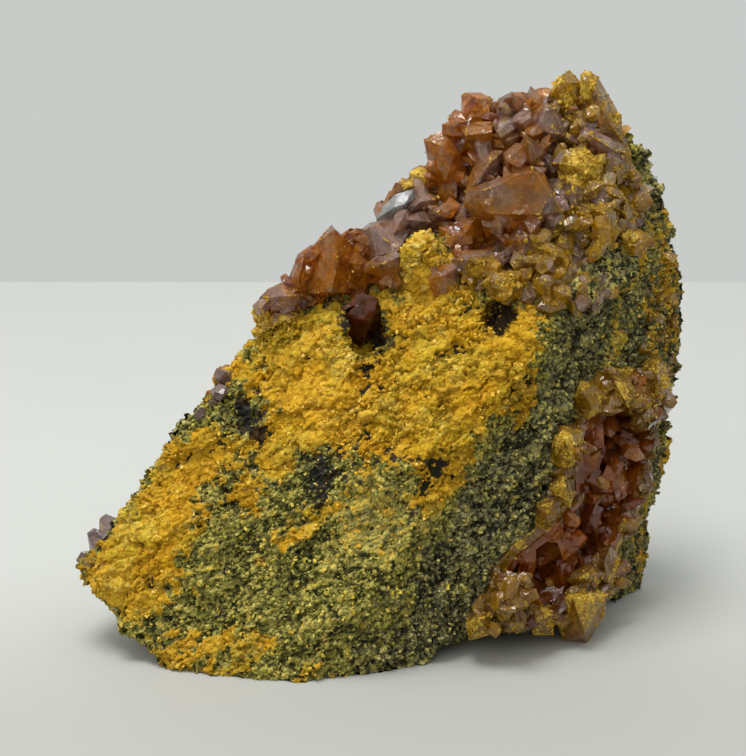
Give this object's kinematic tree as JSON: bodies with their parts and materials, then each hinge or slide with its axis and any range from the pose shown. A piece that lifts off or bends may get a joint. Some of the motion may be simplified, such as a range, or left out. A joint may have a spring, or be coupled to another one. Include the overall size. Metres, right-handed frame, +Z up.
{
  "type": "orpiment specimen",
  "caption": "Broken block of dark host rock with a crumbly yellow face, amber orpiment crystals along its crest and a crystal-lined hollow in one side, standing on a flat base.",
  "frame": {"origin": "middle of the bounding box at the flat base", "axes": "+Z up, +X to the right and +Y away from a viewer who faces the yellow broken face"},
  "size_m": [0.099, 0.0564, 0.0895],
  "materials": {
    "yellow_rock": "crumbly yellow and green-black rock, dull and granular",
    "amber": "clear amber crystal with resinous faces and yellow dust",
    "deep_amber": "deep red-amber crystal with glossy faces",
    "dusted_amber": "crystal coated with yellow-brown dust",
    "smoky_violet": "smoky grey-violet crystal",
    "pale_spar": "pale grey-white clear splinter"
  },
  "bodies": {
    "root": {"matrix": "yellow_rock", "crystal_druse": "amber", "hollow_crystals": "deep_amber", "hollow_rim_crystals": "dusted_amber", "tip_crystals": "smoky_violet", "pit_blade": "deep_amber", "pale_shard": "pale_spar"}
  },
  "joints": []
}
